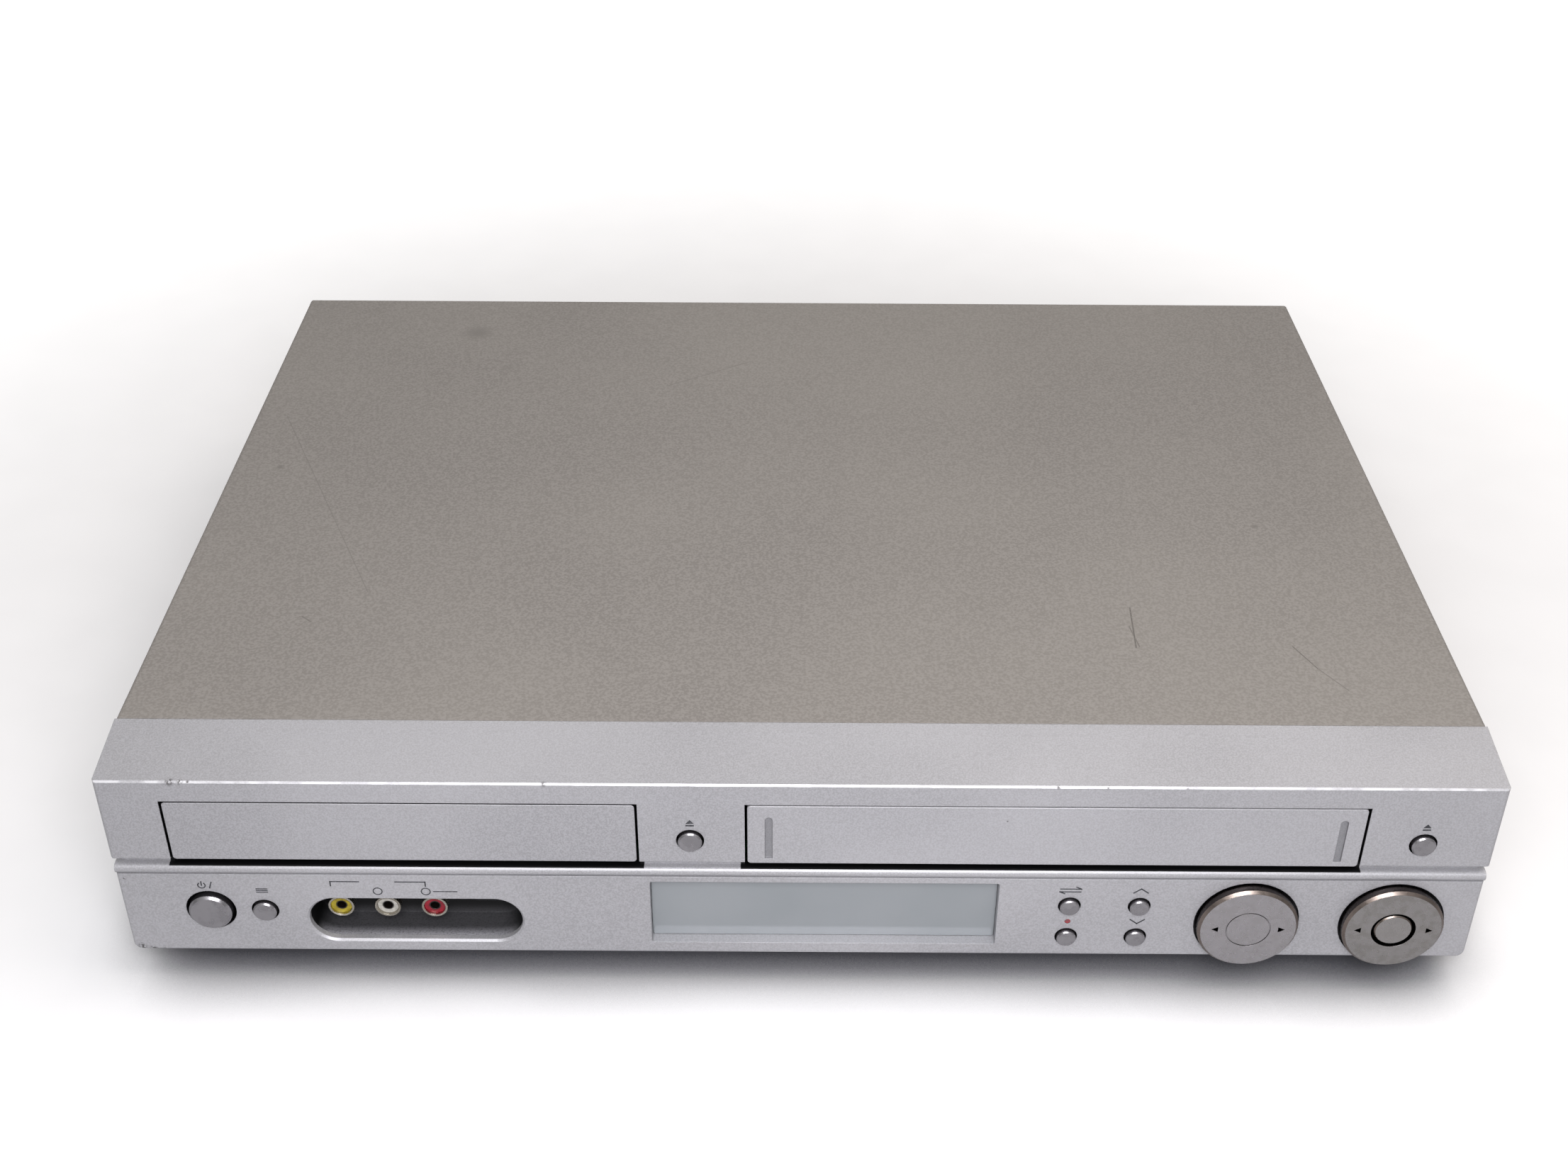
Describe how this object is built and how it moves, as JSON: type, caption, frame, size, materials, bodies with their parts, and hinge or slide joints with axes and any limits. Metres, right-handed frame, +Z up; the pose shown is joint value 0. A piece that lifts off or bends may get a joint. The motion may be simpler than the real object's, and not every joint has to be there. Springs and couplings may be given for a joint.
{
  "type": "disc and tape recorder",
  "caption": "Low silver home recorder case with a disc tray, a cassette door, jacks, a display window, buttons and rocking dials.",
  "frame": {"origin": "middle of the box that holds the case, at the level of the feet's undersides", "axes": "+X to the right as seen from the front, +Y to the back, +Z up"},
  "size_m": [0.43, 0.3352, 0.0858],
  "materials": {
    "silver_abs": "moulded ABS with silver paint",
    "silver_steel": "sheet steel with warm silver-grey paint",
    "zinc_steel": "zinc-plated sheet steel",
    "rubber_black": "moulded black rubber",
    "black_screw": "blackened steel screw",
    "window_lens": "half-silvered acrylic lens",
    "display_glass": "dark display glass",
    "board_green": "solder-masked board",
    "black_abs": "moulded black ABS",
    "nickel": "nickel-plated brass",
    "yellow_plastic": "yellow moulded plastic",
    "white_plastic": "white moulded plastic",
    "red_plastic": "red moulded plastic",
    "button_metal": "satin metallised cap",
    "spun_aluminium": "spun and anodised aluminium",
    "grey_abs": "moulded grey ABS",
    "bright_aluminium": "turned aluminium",
    "steel_shaft": "ground steel",
    "ivory_plastic": "ivory moulded plastic",
    "roller_rubber": "ground black rubber",
    "capacitor_sleeve": "shrunk capacitor sleeve",
    "ferrite": "ferrite core with taped bobbin",
    "ribbon_white": "flat ribbon cable"
  },
  "bodies": {
    "case": {"front_bezel": "silver_abs", "top_cover": "silver_steel", "bottom_chassis": "zinc_steel", "rear_panel": "zinc_steel", "feet": "rubber_black", "cover_screws": "black_screw", "display_window": "window_lens", "display_module": "display_glass", "front_board": "board_green", "jack_recess": "black_abs", "rca_shells": "nickel", "rca_insert_yellow": "yellow_plastic", "rca_insert_white": "white_plastic", "rca_insert_red": "red_plastic", "dv_socket": "black_abs", "loader_chassis": "black_abs", "clamp_bridge": "zinc_steel", "carriage_frame": "zinc_steel", "vcr_deck_plate": "zinc_steel", "lower_drum": "bright_aluminium", "main_board": "board_green", "power_board": "board_green", "power_transformer": "ferrite", "power_capacitors": "capacitor_sleeve", "heat_sink": "bright_aluminium", "tuner_module": "zinc_steel", "rear_jack_block": "black_abs", "scart_sockets": "black_abs", "mains_inlet": "black_abs", "fan_frame": "black_abs", "ribbon_cables": "ribbon_white"},
    "tray": {"tray_front": "silver_abs", "dvd_tray": "grey_abs"},
    "tray_gear": {"tray_gear": "ivory_plastic"},
    "traverse": {"traverse_plate": "zinc_steel", "guide_rods": "steel_shaft"},
    "pickup": {"laser_pickup": "black_abs"},
    "turntable": {"turntable": "black_abs"},
    "clamp_puck": {"clamp_puck": "black_abs"},
    "cassette_door": {"cassette_door": "silver_abs"},
    "cassette_holder": {"cassette_holder": "zinc_steel"},
    "head_drum": {"head_drum": "bright_aluminium"},
    "capstan": {"capstan": "steel_shaft"},
    "supply_reel": {"supply_reel": "black_abs"},
    "takeup_reel": {"takeup_reel": "black_abs"},
    "pinch_arm": {"pinch_arm": "steel_shaft"},
    "pinch_roller": {"pinch_roller": "roller_rubber"},
    "fan_rotor": {"fan_rotor": "black_abs"},
    "copy_dial": {"copy_dial": "spun_aluminium"},
    "ring_gimbal": {"ring_gimbal": "black_abs"},
    "navigation_ring": {"navigation_ring": "spun_aluminium"},
    "play_button": {"play_button": "spun_aluminium"},
    "power_button": {"power_button": "button_metal"},
    "scan_button": {"scan_button": "button_metal"},
    "open_button": {"open_button": "button_metal"},
    "eject_button": {"eject_button": "button_metal"},
    "source_button": {"source_button": "button_metal"},
    "record_button": {"record_button": "button_metal"},
    "channel_up_button": {"channel_up_button": "button_metal"},
    "channel_down_button": {"channel_down_button": "button_metal"}
  },
  "joints": [
    {"name": "tray_slide", "type": "slide", "parent": "case", "child": "tray", "axis": [0, -1, 0], "range_m": [0, 0.132]},
    {"name": "tray_gear_spin", "type": "hinge", "parent": "case", "child": "tray_gear", "pos_m": [-0.09215, -0.14065, 0.053], "axis": [0, 0, 1], "range_deg": [-545, 545]},
    {"name": "traverse_lift", "type": "hinge", "parent": "case", "child": "traverse", "pos_m": [-0.12315, -0.00665, 0.05], "axis": [-1, 0, 0], "range_deg": [0, 2.6]},
    {"name": "pickup_slide", "type": "slide", "parent": "traverse", "child": "pickup", "axis": [0, 1, 0], "range_m": [0, 0.036]},
    {"name": "turntable_spin", "type": "hinge", "parent": "traverse", "child": "turntable", "pos_m": [-0.12315, -0.09465, 0.055], "axis": [0, 0, 1], "continuous": true},
    {"name": "clamp_puck_spin", "type": "hinge", "parent": "case", "child": "clamp_puck", "pos_m": [-0.12315, -0.09465, 0.065], "axis": [0, 0, 1], "continuous": true},
    {"name": "cassette_door_swing", "type": "hinge", "parent": "case", "child": "cassette_door", "pos_m": [0.07855, -0.15945, 0.0792], "axis": [1, 0, 0], "range_deg": [0, 90], "stiffness_Nm_per_rad": 0.02, "springref_deg": -34.38},
    {"name": "cassette_holder_slide", "type": "slide", "parent": "case", "child": "cassette_holder", "axis": [0, -1, 0], "range_m": [-0.066, 0]},
    {"name": "head_drum_spin", "type": "hinge", "parent": "case", "child": "head_drum", "pos_m": [0.07855, 0.08935, 0.027], "axis": [0, 0.1045, 0.9945], "continuous": true},
    {"name": "capstan_spin", "type": "hinge", "parent": "case", "child": "capstan", "pos_m": [0.13355, 0.06535, 0.02], "axis": [0, 0, 1], "continuous": true},
    {"name": "supply_reel_spin", "type": "hinge", "parent": "case", "child": "supply_reel", "pos_m": [0.0323, -0.01265, 0.027], "axis": [0, 0, 1], "continuous": true},
    {"name": "takeup_reel_spin", "type": "hinge", "parent": "case", "child": "takeup_reel", "pos_m": [0.1248, -0.01265, 0.027], "axis": [0, 0, 1], "continuous": true},
    {"name": "pinch_arm_swing", "type": "hinge", "parent": "case", "child": "pinch_arm", "pos_m": [0.14955, 0.08935, 0.027], "axis": [0, 0, 1], "range_deg": [-12.91, 0]},
    {"name": "pinch_roller_spin", "type": "hinge", "parent": "pinch_arm", "child": "pinch_roller", "pos_m": [0.14649, 0.06756, 0.035], "axis": [0, 0, 1], "continuous": true},
    {"name": "fan_spin", "type": "hinge", "parent": "case", "child": "fan_rotor", "pos_m": [-0.14, 0.15335, 0.048], "axis": [0, 1, 0], "continuous": true},
    {"name": "copy_dial_rock", "type": "hinge", "parent": "case", "child": "copy_dial", "pos_m": [0.1424, -0.15845, 0.027], "axis": [0, 0, 1], "range_deg": [-2, 2], "stiffness_Nm_per_rad": 0.4},
    {"name": "ring_rock_sideways", "type": "hinge", "parent": "case", "child": "ring_gimbal", "pos_m": [0.1885, -0.15845, 0.027], "axis": [0, 0, 1], "range_deg": [-2, 2], "stiffness_Nm_per_rad": 0.4},
    {"name": "ring_rock_upright", "type": "hinge", "parent": "ring_gimbal", "child": "navigation_ring", "pos_m": [0.1885, -0.15845, 0.027], "axis": [1, 0, 0], "range_deg": [-2, 2], "stiffness_Nm_per_rad": 0.4},
    {"name": "play_button_press", "type": "slide", "parent": "case", "child": "play_button", "axis": [0, 1, 0], "range_m": [0, 0.0012], "stiffness_N_per_m": 400, "springref_m": -0.001},
    {"name": "power_button_press", "type": "slide", "parent": "case", "child": "power_button", "axis": [0, 1, 0], "range_m": [0, 0.0012], "stiffness_N_per_m": 400, "springref_m": -0.001},
    {"name": "scan_button_press", "type": "slide", "parent": "case", "child": "scan_button", "axis": [0, 1, 0], "range_m": [0, 0.0012], "stiffness_N_per_m": 400, "springref_m": -0.001},
    {"name": "open_button_press", "type": "slide", "parent": "case", "child": "open_button", "axis": [0, 1, 0], "range_m": [0, 0.0012], "stiffness_N_per_m": 400, "springref_m": -0.001},
    {"name": "eject_button_press", "type": "slide", "parent": "case", "child": "eject_button", "axis": [0, 1, 0], "range_m": [0, 0.0012], "stiffness_N_per_m": 400, "springref_m": -0.001},
    {"name": "source_button_press", "type": "slide", "parent": "case", "child": "source_button", "axis": [0, 1, 0], "range_m": [0, 0.0012], "stiffness_N_per_m": 400, "springref_m": -0.001},
    {"name": "record_button_press", "type": "slide", "parent": "case", "child": "record_button", "axis": [0, 1, 0], "range_m": [0, 0.0012], "stiffness_N_per_m": 400, "springref_m": -0.001},
    {"name": "channel_up_button_press", "type": "slide", "parent": "case", "child": "channel_up_button", "axis": [0, 1, 0], "range_m": [0, 0.0012], "stiffness_N_per_m": 400, "springref_m": -0.001},
    {"name": "channel_down_button_press", "type": "slide", "parent": "case", "child": "channel_down_button", "axis": [0, 1, 0], "range_m": [0, 0.0012], "stiffness_N_per_m": 400, "springref_m": -0.001}
  ],
  "couplings": [
    {"joint": "tray_gear_spin", "follows": "tray_slide", "rad_per_m": -71.429}
  ]
}
